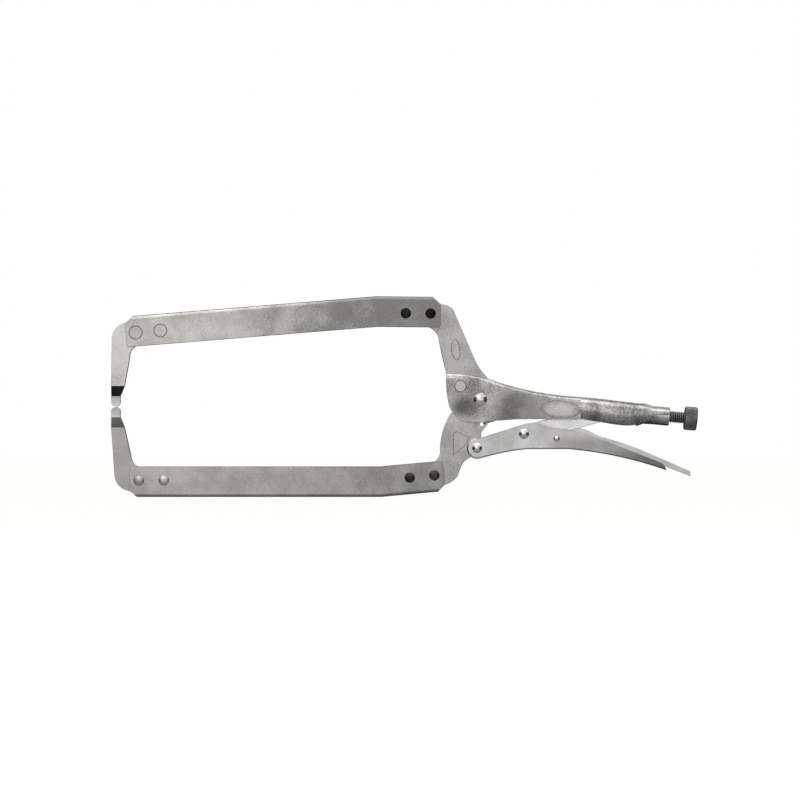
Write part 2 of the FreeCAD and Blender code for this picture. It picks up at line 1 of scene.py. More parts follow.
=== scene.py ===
# %% [markdown]
# # A locking C-clamp, from CAD model to picture
# The clamp is two long folded-steel arms with forged jaws, worked by a locking-plier handle.
# Its CAD model already has every size and every joint, so this script never moves it: it loads
# the model, rounds the edges that a press or a hammer leaves round, cuts the screw's thread and
# the knob's knurl, winds the spring, and then gives each piece its metal, light and camera.
# Blender works in metres, so small sizes are written in millimetres times MM.

# %% Load the CAD model
import math

import bmesh
import bpy
from mathutils import Matrix, Vector


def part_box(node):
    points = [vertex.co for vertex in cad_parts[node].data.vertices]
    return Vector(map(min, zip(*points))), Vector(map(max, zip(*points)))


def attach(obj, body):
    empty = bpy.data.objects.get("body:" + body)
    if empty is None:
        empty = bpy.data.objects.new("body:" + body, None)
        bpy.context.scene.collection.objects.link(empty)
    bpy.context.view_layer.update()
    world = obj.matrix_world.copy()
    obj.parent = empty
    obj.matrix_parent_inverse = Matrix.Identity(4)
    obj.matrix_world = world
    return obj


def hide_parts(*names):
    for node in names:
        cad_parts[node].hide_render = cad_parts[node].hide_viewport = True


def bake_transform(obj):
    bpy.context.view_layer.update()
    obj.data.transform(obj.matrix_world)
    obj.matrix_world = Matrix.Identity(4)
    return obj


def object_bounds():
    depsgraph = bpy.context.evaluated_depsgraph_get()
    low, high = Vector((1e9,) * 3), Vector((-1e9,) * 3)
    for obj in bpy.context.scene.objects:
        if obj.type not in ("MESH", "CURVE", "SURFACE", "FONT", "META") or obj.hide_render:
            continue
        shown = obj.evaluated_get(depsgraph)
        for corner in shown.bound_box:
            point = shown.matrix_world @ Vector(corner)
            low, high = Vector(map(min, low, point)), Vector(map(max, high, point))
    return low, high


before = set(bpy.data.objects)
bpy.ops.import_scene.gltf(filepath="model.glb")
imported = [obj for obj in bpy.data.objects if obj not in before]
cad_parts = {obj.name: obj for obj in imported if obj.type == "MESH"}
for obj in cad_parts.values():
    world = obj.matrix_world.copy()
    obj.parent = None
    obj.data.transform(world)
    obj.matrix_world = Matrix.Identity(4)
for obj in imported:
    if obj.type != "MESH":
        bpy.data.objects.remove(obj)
cad_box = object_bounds()
MM = 0.001
print("CAD box in mm:", [[round(c / MM, 1) for c in corner] for corner in cad_box])

# %% [markdown]
# ## Where the screw and the spring are
# Two lines carry all the pieces that are made new here. The screw's axis starts at the rear end
# of the toggle link and tilts 5 degrees down to the rear. The spring runs from the hole in the
# moving knee's lug to the hole in the handle's tab. Everything on a line is made standing up at
# the origin, where round shapes are easy to draw, and is then laid along the line.

# %% The two lines
screw_origin = Vector((381.774, 0, -3.565)) * MM
screw_tilt = math.radians(-5.0)
screw_along = Vector((math.cos(screw_tilt), 0, math.sin(screw_tilt)))
spring_hole = Vector((283.97, 0, -13.56)) * MM
spring_anchor = Vector((341.67, 0, 3.24)) * MM
spring_along = (spring_anchor - spring_hole).normalized()
spring_span = (spring_anchor - spring_hole).length
print("spring span in mm:", round(spring_span / MM, 1))


def lay_along(origin, along):
    """The placement that turns a piece's own Z onto the line and its own Y onto the tool's Y."""
    across = Vector((0, 1, 0))
    side = across.cross(along)
    turned = Matrix((side, across, along)).transposed().to_4x4()
    return Matrix.Translation(origin) @ turned


# %% [markdown]
# ## Working in edit mode from a script
# By hand one would click on faces. In a script they are chosen by where they are, and because
# an operator acts on everything that is selected, the first step is always to select nothing.

# %% Helpers for choosing and finishing
def select_nothing():
    if bpy.context.object and bpy.context.object.mode != "OBJECT":
        bpy.ops.object.mode_set(mode="OBJECT")
    bpy.ops.object.select_all(action="DESELECT")


def pick(piece):
    """Selects one piece alone and makes it the active one."""
    select_nothing()
    piece.select_set(True)
    bpy.context.view_layer.objects.active = piece


def edit(piece):
    """Goes into edit mode on one piece alone."""
    pick(piece)
    bpy.ops.object.mode_set(mode="EDIT")


def choose(kind, rule):
    """Selects the vertices, edges or faces whose middle passes the rule."""
    bpy.ops.mesh.select_all(action="DESELECT")
    bpy.ops.mesh.select_mode(type=kind)
    mesh = bmesh.from_edit_mesh(bpy.context.object.data)
    found = 0
    for part in {"VERT": mesh.verts, "EDGE": mesh.edges, "FACE": mesh.faces}[kind]:
        corners = [part.co] if kind == "VERT" else [v.co for v in part.verts]
        if rule(sum(corners, Vector()) / len(corners)):
            part.select_set(True)
            found += 1
    mesh.select_flush_mode()
    bmesh.update_edit_mesh(bpy.context.object.data)
    return found


def choose_open_edges(piece, low, high):
    """Selects the open edges whose height, in millimetres, is between low and high."""
    bpy.ops.mesh.select_all(action="DESELECT")
    bpy.ops.mesh.select_mode(type="EDGE")
    bpy.ops.mesh.select_non_manifold(extend=False, use_boundary=True, use_wire=False,
                                     use_multi_face=False, use_non_contiguous=False, use_verts=False)
    mesh = bmesh.from_edit_mesh(piece.data)
    for edge in mesh.edges:
        edge_height = (edge.verts[0].co.z + edge.verts[1].co.z) / 2 / MM
        if edge.select and not low < edge_height < high:
            edge.select_set(False)
    mesh.select_flush_mode()
    bmesh.update_edit_mesh(piece.data)


def apply_modifier(piece, kind, **settings):
    pick(piece)
    modifier = piece.modifiers.new(kind.title(), kind)
    for name, value in settings.items():
        setattr(modifier, name, value)
    bpy.ops.object.modifier_apply(modifier=modifier.name)


def open_edges(piece):
    """How many edges don't have exactly two faces: none on a closed piece."""
    mesh = bmesh.new()
    mesh.from_mesh(piece.data)
    count = sum(not edge.is_manifold for edge in mesh.edges)
    mesh.free()
    return count


def finish_piece(piece, name, placement, smooth_below=35):
    """Names the piece, lays it in place, applies that, and closes its shading."""
    piece.name = name
    piece.data.name = name
    piece.matrix_world = placement
    pick(piece)
    bpy.ops.object.transform_apply(location=True, rotation=True, scale=True)
    edit(piece)
    bpy.ops.mesh.select_all(action="SELECT")
    bpy.ops.mesh.remove_doubles(threshold=0.001 * MM)
    bpy.ops.mesh.normals_make_consistent(inside=False)
    pick(piece)
    bpy.ops.object.shade_smooth_by_angle(angle=math.radians(smooth_below))
    print(name, "has", len(piece.data.polygons), "faces and", open_edges(piece), "open edges")
    return piece


def joined(pieces):
    select_nothing()
    for piece in pieces:
        piece.select_set(True)
    bpy.context.view_layer.objects.active = pieces[0]
    bpy.ops.object.join()
    return bpy.context.object


# %% [markdown]
# ## Camera and studio
# The clamp is seen square on from its side through a long lens, which keeps the two arms from
# converging. The floor is a plain pale disc, low enough for the lower jaw to drop when it opens.
# The sky is white to the eye, but what the metal mirrors is a soft grey room: brighter above,
# darker below and to the sides, and nearly black straight behind, which draws a dark line round
# every rounded edge. Without something dark to mirror, polished steel looks like white paper.

# %% Camera
field_width = 620 * MM
view_x, view_height = 220.5 * MM, 5.2 * MM
near_cheek = 6.6 * MM
camera_data = bpy.data.cameras.new("camera")
camera_data.lens = 200
camera_data.sensor_width = 36
camera_data.clip_end = 100
distance = field_width * camera_data.lens / camera_data.sensor_width
camera = bpy.data.objects.new("camera", camera_data)
camera.location = (view_x, -distance - near_cheek, view_height)
camera.rotation_euler = (math.radians(90), 0, 0)
bpy.context.scene.collection.objects.link(camera)
bpy.context.scene.camera = camera
bpy.context.scene.view_settings.view_transform = "Standard"
print("camera distance in m:", round(distance, 3))

# %% Floor
select_nothing()
jaw_drop = 145 * MM
floor_height = cad_box[0].z - jaw_drop
floor_radius = 14
bpy.ops.mesh.primitive_circle_add(vertices=96, radius=floor_radius, fill_type="NGON",
                                  location=(0.2, 0, floor_height))
floor = bpy.context.object
floor.name = "floor"
floor.visible_glossy = False
floor_paint = bpy.data.materials.new("pale_floor")
floor_paint.use_nodes = True
floor_shader = floor_paint.node_tree.nodes["Principled BSDF"]
floor_shader.inputs["Base Color"].default_value = (0.86, 0.86, 0.855, 1)
floor_shader.inputs["Roughness"].default_value = 0.9
floor_shader.inputs["Emission Color"].default_value = (1, 1, 1, 1)
floor_shader.inputs["Emission Strength"].default_value = 0.4
floor.data.materials.append(floor_paint)

# %% [markdown]
# ## Building with nodes
# Materials and the sky are both small networks. Every node in them is added by the same helper,
# which gives each input either a plain value or a link from another node's output.

# %% Adding a node
def add_node(tree, kind, inputs, **settings):
    made = tree.nodes.new(kind)
    for name, value in settings.items():
        setattr(made, name, value)
    for key, value in inputs.items():
        if isinstance(value, bpy.types.NodeSocket):
            tree.links.new(value, made.inputs[key])
        else:
            made.inputs[key].default_value = value
    return made


# %% Lights
def softbox(name, place, aim, size, brightness):
    """A rectangular light; brightness is what a mirror would show of it."""
    light = bpy.data.lights.new(name, "AREA")
    light.shape = "RECTANGLE"
    light.size, light.size_y = size
    light.energy = brightness * math.pi * size[0] * size[1]
    lamp = bpy.data.objects.new(name, light)
    lamp.location = place
    lamp.rotation_euler = (Vector(aim) - Vector(place)).to_track_quat("-Z", "Y").to_euler()
    lamp.visible_camera = False
    bpy.context.scene.collection.objects.link(lamp)


middle = (cad_box[0] + cad_box[1]) / 2
softbox("top_softbox", (0.22, -0.35, 1.3), middle, (1.9, 0.7), 1.6)
softbox("front_softbox", (-0.25, -2.2, 1.0), middle, (1.0, 1.0), 1.8)
softbox("low_softbox", (0.3, -2.4, -0.02), middle, (1.6, 0.12), 1.6)
softbox("rear_softbox", (1.0, 1.5, 1.5), middle, (1.4, 1.0), 2.4)
print(len(bpy.data.lights), "softboxes")

# %% Sky
sky = bpy.data.worlds.new("studio_sky")
bpy.context.scene.world = sky
sky.use_nodes = True
sky_tree = sky.node_tree
sky_tree.nodes.clear()


def sky_math(operation, first, second=0.0):
    return add_node(sky_tree, "ShaderNodeMath", {0: first, 1: second}, operation=operation).outputs[0]


def sky_fade(value, start, end):
    """0 before start and 1 beyond end."""
    inputs = {"Value": value, "From Min": start, "From Max": end}
    return add_node(sky_tree, "ShaderNodeMapRange", inputs).outputs["Result"]


direction = add_node(sky_tree, "ShaderNodeTexCoord", {}).outputs["Generated"]
split = add_node(sky_tree, "ShaderNodeSeparateXYZ", {0: direction}).outputs
upward = add_node(sky_tree, "ShaderNodeValToRGB", {0: sky_fade(split["Z"], -1, 1)})
stops = [(0.0, 0.26), (0.3, 0.4), (0.44, 0.56), (0.5, 0.7), (0.66, 0.9), (1.0, 0.95)]
while len(upward.color_ramp.elements) < len(stops):
    upward.color_ramp.elements.new(0.5)
for stop, (position, grey) in zip(upward.color_ramp.elements, stops):
    stop.position = position
    stop.color = (grey, grey, grey * 0.99, 1)

side_darkness, back_darkness = 0.93, 0.96
to_side = sky_math("ABSOLUTE", split["X"])
off_level = sky_math("ABSOLUTE", split["Z"])
side_wall = sky_math("MULTIPLY", sky_fade(to_side, 0.44, 0.58), sky_fade(off_level, 0.46, 0.28))
back_wall = sky_math("MULTIPLY", sky_fade(split["Y"], 0.25, 0.6), sky_fade(to_side, 0.55, 0.3))
side_left = sky_math("SUBTRACT", 1.0, sky_math("MULTIPLY", side_wall, side_darkness))
back_left = sky_math("SUBTRACT", 1.0, sky_math("MULTIPLY", back_wall, back_darkness))
brightness_left = sky_math("MULTIPLY", side_left, back_left)

room = add_node(sky_tree, "ShaderNodeBackground",
                {"Color": upward.outputs["Color"], "Strength": brightness_left})
white = add_node(sky_tree, "ShaderNodeBackground", {"Color": (1, 1, 1, 1), "Strength": 1.0})
seen = add_node(sky_tree, "ShaderNodeLightPath", {}).outputs["Is Camera Ray"]
either = add_node(sky_tree, "ShaderNodeMixShader", {"Fac": seen, 1: room.outputs[0], 2: white.outputs[0]})
add_node(sky_tree, "ShaderNodeOutputWorld", {"Surface": either.outputs[0]})
print(len(sky_tree.nodes), "sky nodes")


# %% [markdown]
# ## How the metals are made
# Plated steel is never one grey. It has cloudy patches a centimetre or two across from the
# plating bath and a grain of about a millimetre from the rolled or tumbled surface under it.
# Noise makes the patches and the grain. The recipe also paints shade: a darker line along each
# edge, where a rounded edge turns from the light, and darker faces where the metal faces
# straight up or down. Each finish below turns its knobs differently. The patterns read Object
# coordinates, so they are in metres and stay on the piece when it moves.

# %% The recipe for a metal
def in_metres(millimetres):
    return [c * MM for c in millimetres]


class Metal:
    """A material that is built up step by step."""

    def __init__(self, name, metallic=1.0):
        self.material = bpy.data.materials.new(name)
        self.material.use_nodes = True
        self.links = self.material.node_tree.links
        self.shader = self.material.node_tree.nodes["Principled BSDF"]
        self.shader.inputs["Metallic"].default_value = metallic
        self.place = self.node("ShaderNodeTexCoord", {}).outputs["Object"]

    def node(self, kind, inputs, **settings):
        return add_node(self.material.node_tree, kind, inputs, **settings)

    def vector(self, operation, *inputs):
        """Vector arithmetic; a length and a dot product come out as plain numbers."""
        made = self.node("ShaderNodeVectorMath", dict(enumerate(inputs)), operation=operation)
        return made.outputs["Value" if operation in ("LENGTH", "DOT_PRODUCT") else "Vector"]

    def noise(self, size, detail=3.0, stretch=(1, 1, 1), offset=(0, 0, 0)):
        """Noise whose features are about size metres across."""
        scaled = self.node("ShaderNodeMapping",
                           {"Vector": self.place, "Scale": stretch, "Location": offset}).outputs[0]
        made = self.node("ShaderNodeTexNoise", {"Vector": scaled, "Scale": 1 / size, "Detail": detail})
        return made.outputs["Fac"]

    def math(self, operation, a, b=0.0):
        return self.node("ShaderNodeMath", {0: a, 1: b}, operation=operation).outputs[0]

    def spread(self, value, low, high, to_low=0.0, to_high=1.0):
        """Turns low..high into to_low..to_high, smoothly and without going past."""
        inputs = {"Value": value, "From Min": low, "From Max": high, "To Min": to_low, "To Max": to_high}
        return self.node("ShaderNodeMapRange", inputs, interpolation_type="SMOOTHSTEP").outputs["Result"]

    def blend(self, factor, first, second):
        """A colour between two, each a grey tone, a triple or another blend."""
        inputs = {"Factor": factor}
        for key, tone in ((6, first), (7, second)):
            inputs[key] = tone if isinstance(tone, bpy.types.NodeSocket) else (*tone, 1)
        return self.node("ShaderNodeMix", inputs, data_type="RGBA").outputs[2]

    def edges(self, width):
        """1 within about width of a sharp edge, 0 on open surfaces."""
        rounded_normal = self.node("ShaderNodeBevel", {"Radius": width}, samples=6).outputs[0]
        own_normal = self.node("ShaderNodeNewGeometry", {}).outputs["Normal"]
        return self.spread(self.vector("DOT_PRODUCT", rounded_normal, own_normal), 0.995, 0.8)

    def within(self, middle, reach, soft=0.5):
        """1 inside an ellipsoid, falling to 0 at its surface."""
        moved = self.vector("SUBTRACT", self.place, middle)
        sized = self.vector("DIVIDE", moved, reach)
        return self.spread(self.vector("LENGTH", sized), 1.0, 1.0 - soft)

    def ring(self, middle, radius, half_width):
        """1 on a circle round an axis along Y, seen from the side."""
        moved = self.vector("SUBTRACT", self.place, middle)
        flat = self.vector("MULTIPLY", moved, (1, 0, 1))
        off = self.math("ABSOLUTE", self.math("SUBTRACT", self.vector("LENGTH", flat), radius))
        return self.spread(off, half_width, half_width * 0.3)

    def axis(self, name):
        return self.node("ShaderNodeSeparateXYZ", {0: self.place}).outputs[name]

    def bump(self, heights):
        """Adds up bumps; each is (height, millimetres, strength)."""
        normal = None
        for height, depth, strength in heights:
            inputs = {"Height": height, "Distance": depth * MM, "Strength": strength}
            if normal is not None:
                inputs["Normal"] = normal
            normal = self.node("ShaderNodeBump", inputs).outputs["Normal"]
        self.links.new(normal, self.shader.inputs["Normal"])

    def colour(self, value):
        self.links.new(value, self.shader.inputs["Base Color"])

    def roughness(self, value):
        self.links.new(value, self.shader.inputs["Roughness"])


cloud_size = 16.0
joint_half_width = 0.55
# How much of the dark tone goes on: along edges it is painted shade, on the seam and the rivet rings a real
# dark joint.
edge_shade_and_joint_share = 0.85


def plated(name, dark, light, rough=0.3, patch=0.5, grain=0.5, grain_size=1.1, bump=0.3, lift=0.0,
           edge_shade_and_joint_tone=0.35, edge_shade_width=0.5, along=None, patches=(), seam=None, rings=(), crown_shade=0.0):
    """Plated steel. patch and grain are how far each pulls between the two tones.

    Lengths are in millimetres. lift makes the whole finish lighter.
    The edge settings paint shade, a darker line along each sharp edge; the joints share its tone.
    along is (start, end, amount): the tone drifts by amount from start to end along X.
    Each of patches is (middle, reach, amount): a lighter or darker place.
    seam is (middle, reach): the closed line where a rolled sheet meets itself.
    Each of rings is (middle, radius): the thin dark joint round a rivet that is set flush.
    crown is painted shade: how much darker the metal is made where it faces straight up or down.
    """
    metal = Metal(name)
    cloud = metal.noise(cloud_size * MM, 4.0)
    fine = metal.noise(grain_size * MM, 4.0, offset=(0.3, 0.1, 0.2))
    finest = metal.noise(grain_size * 0.3 * MM, 2.0)
    pull = metal.spread(cloud, 0.32, 0.68, -patch / 2, patch / 2)
    speck = metal.spread(fine, 0.3, 0.7, -grain / 2, grain / 2)
    tone = metal.math("ADD", metal.math("ADD", pull, speck), 0.5 + lift)
    if along:
        start, end, amount = along
        tone = metal.math("ADD", tone, metal.spread(metal.axis("X"), start * MM, end * MM, 0.0, amount))
    surface = metal.blend(tone, dark, light)
    for centre, reach, amount in patches:
        inside = metal.within(in_metres(centre), in_metres(reach), 0.7)
        share = metal.math("MULTIPLY", inside, abs(amount))
        surface = metal.blend(share, surface, light if amount > 0 else dark)
    # Painted shade: faces that point straight up or down are made darker.
    if crown_shade:
        facing = metal.node("ShaderNodeTexCoord", {}).outputs["Normal"]
        upright = metal.math("ABSOLUTE", metal.node("ShaderNodeSeparateXYZ", {0: facing}).outputs["Z"])
        crown_shade_mask = metal.spread(upright, 0.74, 0.95, 0.0, crown_shade)
        surface = metal.blend(crown_shade_mask, surface, [c * 0.5 for c in dark])
    # Painted shade: the edge mask darkens a line along every sharp edge. The seam and the rivet rings joined
    # to it below are real dark joints.
    edge = metal.edges(edge_shade_width * MM)
    if seam:
        closing = metal.within(in_metres(seam[0]), in_metres(seam[1]), 0.6)
        edge = metal.math("MAXIMUM", edge, closing)
    for centre, radius in rings:
        joint = metal.ring(in_metres(centre), radius * MM, joint_half_width * MM)
        edge = metal.math("MAXIMUM", edge, joint)
    edge_shade_and_joint_colour = [c * edge_shade_and_joint_tone for c in dark]
    metal.colour(metal.blend(metal.math("MULTIPLY", edge, edge_shade_and_joint_share), surface, edge_shade_and_joint_colour))
    metal.roughness(metal.spread(fine, 0.25, 0.75, rough - 0.07, rough + 0.09))
    metal.bump([(fine, 0.05, bump), (finest, 0.02, bump)])
    return metal.material


# %% Where the flush rivets are
front_low, front_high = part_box("upper_front_rivets")
flush_radius = 5.0
flush_rings = [((front_low[0] / MM + flush_radius, 0, front_low[2] / MM + flush_radius), flush_radius),
               ((front_high[0] / MM - flush_radius, 0, front_high[2] / MM - flush_radius), flush_radius)]
knee_low, knee_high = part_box("knee_rivet")
knee_rivet_radius = 4.4
knee_ring = [(((knee_low[0] + knee_high[0]) / 2 / MM, 0, (knee_low[2] + knee_high[2]) / 2 / MM),
              knee_rivet_radius)]
print("flush rivets at:", [[round(c, 1) for c in centre] for centre, radius in flush_rings])

# %% Finishes of the arms, the forgings and the raised outlines
upper_arm_steel = plated(
    "upper_arm_steel", (0.22, 0.215, 0.21), (0.66, 0.635, 0.615), patch=0.35, grain=0.5, bump=0.4,
    along=(40, 250, -0.85), lift=0.2, edge_shade_and_joint_tone=0.25, edge_shade_width=0.8, rings=flush_rings, crown_shade=0.7)
lower_arm_steel = plated(
    "lower_arm_steel", (0.24, 0.235, 0.23), (0.56, 0.545, 0.53), patch=0.35, grain=0.4, bump=0.4,
    along=(40, 250, -0.4), lift=0.1, edge_shade_and_joint_tone=0.25, edge_shade_width=0.8, crown_shade=0.7)
forged_steel = plated(
    "forged_steel", (0.3, 0.292, 0.287), (0.66, 0.645, 0.635), rough=0.33, patch=0.4, grain=0.45,
    bump=0.4, along=(20, 230, -0.52), lift=0.4, edge_shade_and_joint_tone=0.3, crown_shade=0.5)
lower_forged_steel = plated(
    "lower_forged_steel", (0.3, 0.292, 0.285), (0.52, 0.508, 0.495), rough=0.33, patch=0.4, grain=0.4,
    bump=0.4, lift=0.1, edge_shade_and_joint_tone=0.3)
# Painted shade: the raised outlines are coloured dark to stand for the thin line of shade along each ridge.
die_line_painted_shade = plated(
    "die_line_painted_shade", (0.12, 0.117, 0.114), (0.3, 0.292, 0.287), rough=0.45, grain=0.3)

# %% Finishes of the handle, the levers and the pins
# The handle's first patch is painted shade: it darkens a shallow dish in the cheek ahead of the main pivot,
# which the shape itself doesn't have.
handle_steel = plated(
    "handle_steel", (0.1, 0.098, 0.093), (0.6, 0.59, 0.575), rough=0.27, grain=0.55, bump=0.4,
    patches=[((270, 0, 0), (15, 30, 10), -0.75), ((314, 0, -3), (34, 30, 24), -0.55),
             ((345, 0, -2), (17, 30, 8.5), 0.6), ((425, 0, -9), (10, 30, 4), 0.9),
             ((413.5, 0, -12), (4, 30, 2), -0.9)],
    seam=((425, -7, -5.9), (11, 3, 0.35)), rings=knee_ring, crown_shade=0.9)
lever_steel = plated(
    "lever_steel", (0.17, 0.166, 0.163), (0.68, 0.67, 0.672), rough=0.32, patch=0.3, grain=0.22,
    bump=0.15, along=(345, 430, -0.85), lift=0.28, crown_shade=0.5,
    patches=[((358, 0, -30), (30, 30, 12), -0.4), ((395, 0, -39), (30, 30, 9), -0.5)])
release_steel = plated(
    "release_steel", (0.34, 0.335, 0.33), (0.68, 0.67, 0.66), rough=0.32, patch=0.4, grain=0.3,
    bump=0.15, lift=0.15)
link_steel = plated(
    "link_steel", (0.6, 0.59, 0.595), (0.9, 0.885, 0.89), rough=0.34, patch=0.4, grain=0.2, bump=0.1,
    lift=0.2)
polished_steel = plated(
    "polished_steel", (0.6, 0.595, 0.59), (0.78, 0.77, 0.765), rough=0.14, patch=0.3, grain=0.2,
    bump=0.04, edge_shade_and_joint_tone=0.1)
flush_rivet_steel = plated(
    "flush_rivet_steel", (0.4, 0.39, 0.38), (0.66, 0.64, 0.63), rough=0.38, grain=0.4, bump=0.3,
    edge_shade_and_joint_tone=0.3, edge_shade_width=0.6, rings=flush_rings)
spring_steel = plated(
    "spring_steel", (0.16, 0.155, 0.15), (0.4, 0.39, 0.38), rough=0.3, patch=0.4, grain=0.2, bump=0.05)


# %% Blackened finishes, and the painted reflection of the jaws' facets
def black_oxide(name, rough, shine, dark=(0.06, 0.058, 0.056), light=(0.16, 0.155, 0.148), crests=None):
    """Blackened steel: nearly black and oily, greyer where it is rubbed.

    crests is (root, crest): two radii from the screw's axis between which the rubbing begins.
    """
    metal = Metal(name, metallic=0.9)
    cloud = metal.noise(5 * MM, 4.0)
    fine = metal.noise(0.7 * MM, 3.0)
    worn = metal.edges(0.25 * MM)
    if crests:
        from_axis = metal.vector("SUBTRACT", metal.place, screw_origin)
        out = metal.vector("LENGTH", metal.vector("CROSS_PRODUCT", from_axis, screw_along))
        worn = metal.spread(out, crests[0] * MM, crests[1] * MM)
    base = metal.blend(metal.spread(cloud, 0.3, 0.7), dark, light)
    metal.colour(metal.blend(metal.math("MULTIPLY", worn, shine), base, (0.42, 0.41, 0.395)))
    metal.roughness(metal.spread(fine, 0.25, 0.75, rough - 0.08, rough + 0.12))
    metal.bump([(fine, 0.04, 0.35)])
    return metal.material


black_screw = black_oxide("black_screw", 0.36, 0.75, crests=(4.1, 4.8))
black_knob = black_oxide("black_knob", 0.36, 0.8, crests=(8.95, 9.3))
black_rivet = black_oxide("black_rivet", 0.42, 0.1,
                          dark=(0.006, 0.006, 0.0055), light=(0.03, 0.029, 0.028))
rubbed_rivet = black_oxide("rubbed_rivet", 0.4, 0.2,
                           dark=(0.025, 0.024, 0.023), light=(0.08, 0.078, 0.075))
# Painted reflection: the sloped facets behind the jaws' tips are coloured near black on the upper tip and
# dark grey on the lower, standing for the dark they mirror.
upper_facet_painted_reflection = plated("upper_facet_painted_reflection", (0.012, 0.011, 0.011), (0.03, 0.028, 0.028),
                           rough=0.45, grain=0.4, bump=0.3)
lower_facet_painted_reflection = plated("lower_facet_painted_reflection", (0.09, 0.088, 0.085), (0.17, 0.166, 0.16),
                           rough=0.45, grain=0.4, bump=0.3)
print(len(bpy.data.materials), "materials")

# %% [markdown]
# ## Rounded edges
# The CAD shapes have perfectly sharp edges, which catch no light. Real forgings come out of the
# die with a radius of about a millimetre, and pressed sheet has a small burr-free break. Each of
# these pieces is copied, its triangles are merged back into whole faces, and a Bevel modifier
# rounds the sharp edges. Weighted normals then keep the flat faces looking flat.

# %% Copy and round the forgings and the pressed pieces
def rounded(node, radius, metal, body, segments=3):
    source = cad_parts[node]
    piece = bpy.data.objects.new(node + "_rounded", source.data.copy())
    piece.data.name = piece.name
    bpy.context.scene.collection.objects.link(piece)
    edit(piece)
    bpy.ops.mesh.select_all(action="SELECT")
    bpy.ops.mesh.customdata_custom_splitnormals_clear()
    bpy.ops.mesh.remove_doubles(threshold=0.002 * MM)
    bpy.ops.mesh.dissolve_limited(angle_limit=math.radians(0.4))
    bpy.ops.mesh.normals_make_consistent(inside=False)
    apply_modifier(piece, "BEVEL", width=radius * MM, segments=segments, limit_method="ANGLE",
                   angle_limit=math.radians(38), miter_outer="MITER_ARC")
    pick(piece)
    bpy.ops.object.shade_smooth_by_angle(angle=math.radians(40))
    apply_modifier(piece, "WEIGHTED_NORMAL", keep_sharp=True)
    piece.data.materials.clear()
    piece.data.materials.append(metal)
    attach(piece, body)
    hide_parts(node)
    print(piece.name, len(piece.data.polygons), "faces,", open_edges(piece), "open edges")
    return piece


rounded("fixed_jaw_knee", 0.8, forged_steel, "upper_handle_and_jaw")
rounded("moving_jaw_knee", 0.8, forged_steel, "moving_jaw")
upper_tip = rounded("upper_jaw_tip", 0.5, forged_steel, "upper_handle_and_jaw")
lower_tip = rounded("lower_jaw_tip", 0.5, lower_forged_steel, "moving_jaw")

# %% Facets behind the jaws' tips, painted dark as the reflection they show
facet_near, facet_far, facet_slack = 8.1, 16.1, 0.4
for tip, facet_painted_reflection in ((upper_tip, upper_facet_painted_reflection), (lower_tip, lower_facet_painted_reflection)):
    tip.data.materials.append(facet_painted_reflection)
    facets = 0
    for face in tip.data.polygons:
        face_height = abs(face.center.z) / MM
        beside_tip = facet_near - facet_slack < face_height < facet_far + facet_slack
        slopes = 0.05 < abs(face.normal.z) < 0.4 and abs(face.normal.y) > 0.8
        if beside_tip and slopes:
            face.material_index = 1
            facets += 1
    print(tip.name, facets, "facet faces")

# %% Round the link, the arms and the levers
rounded("toggle_link", 0.5, link_steel, "toggle_link")
rounded("upper_arm", 0.35, upper_arm_steel, "upper_handle_and_jaw", segments=2)
rounded("lower_arm", 0.35, lower_arm_steel, "moving_jaw", segments=2)
rounded("lower_handle", 0.3, lever_steel, "lower_handle", segments=2)
rounded("release_lever", 0.25, release_steel, "release_lever", segments=2)

# %% Plain finishes on the CAD pieces that keep their shape
finishes = {
    "upper_handle": handle_steel,
    "upper_front_rivets": flush_rivet_steel, "knee_rivet": flush_rivet_steel,
    "lower_front_rivets": flush_rivet_steel,
    "upper_rear_rivets": black_rivet, "lower_rear_rivets": rubbed_rivet,
    "main_pivot": polished_steel, "handle_pivot": polished_steel, "link_pivot": polished_steel,
    "lever_pin": polished_steel, "screw_stop_ring": black_screw,
}
for node, metal in finishes.items():
    for material_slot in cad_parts[node].material_slots:
        material_slot.material = metal


# %% [markdown]
# ## The adjusting screw
# The screw is turned from bar and threaded at 1.5 mm a turn. A thread is one tooth's outline
# swept round and up at the same time, which is what the Screw modifier does. The outline is
# drawn as a line of points by extruding a single vertex, and the plain ends are spun from
# outlines of their own.

# %% Drawing a line and spinning it
def drawn_line(points):
    """An object that is one line of vertices in the XZ plane, drawn by extruding."""
    select_nothing()
    bpy.ops.mesh.primitive_plane_add(size=1 * MM, location=(0, 0, 0))
    line = bpy.context.object
    edit(line)
    bpy.ops.mesh.select_mode(type="VERT")
    bpy.ops.mesh.select_all(action="SELECT")
    bpy.ops.mesh.merge(type="CENTER")
    first = Vector((points[0][0], 0, points[0][1])) * MM
    bpy.ops.transform.translate(value=first)
    for (r0, z0), (r1, z1) in zip(points, points[1:]):
        step = Vector((r1 - r0, 0, z1 - z0)) * MM
        bpy.ops.mesh.extrude_vertices_move(TRANSFORM_OT_translate={"value": step})
    return line


def turned(points, steps=64):
    """A lathe shape: the line, from axis to axis, spun round Z."""
    line = drawn_line(points)
    bpy.ops.mesh.select_all(action="SELECT")
    bpy.ops.mesh.spin(steps=steps, angle=2 * math.pi, center=(0, 0, 0), axis=(0, 0, 1))
    bpy.ops.mesh.select_all(action="SELECT")
    bpy.ops.mesh.remove_doubles(threshold=0.001 * MM)
    bpy.ops.mesh.normals_make_consistent(inside=False)
    select_nothing()
    return line


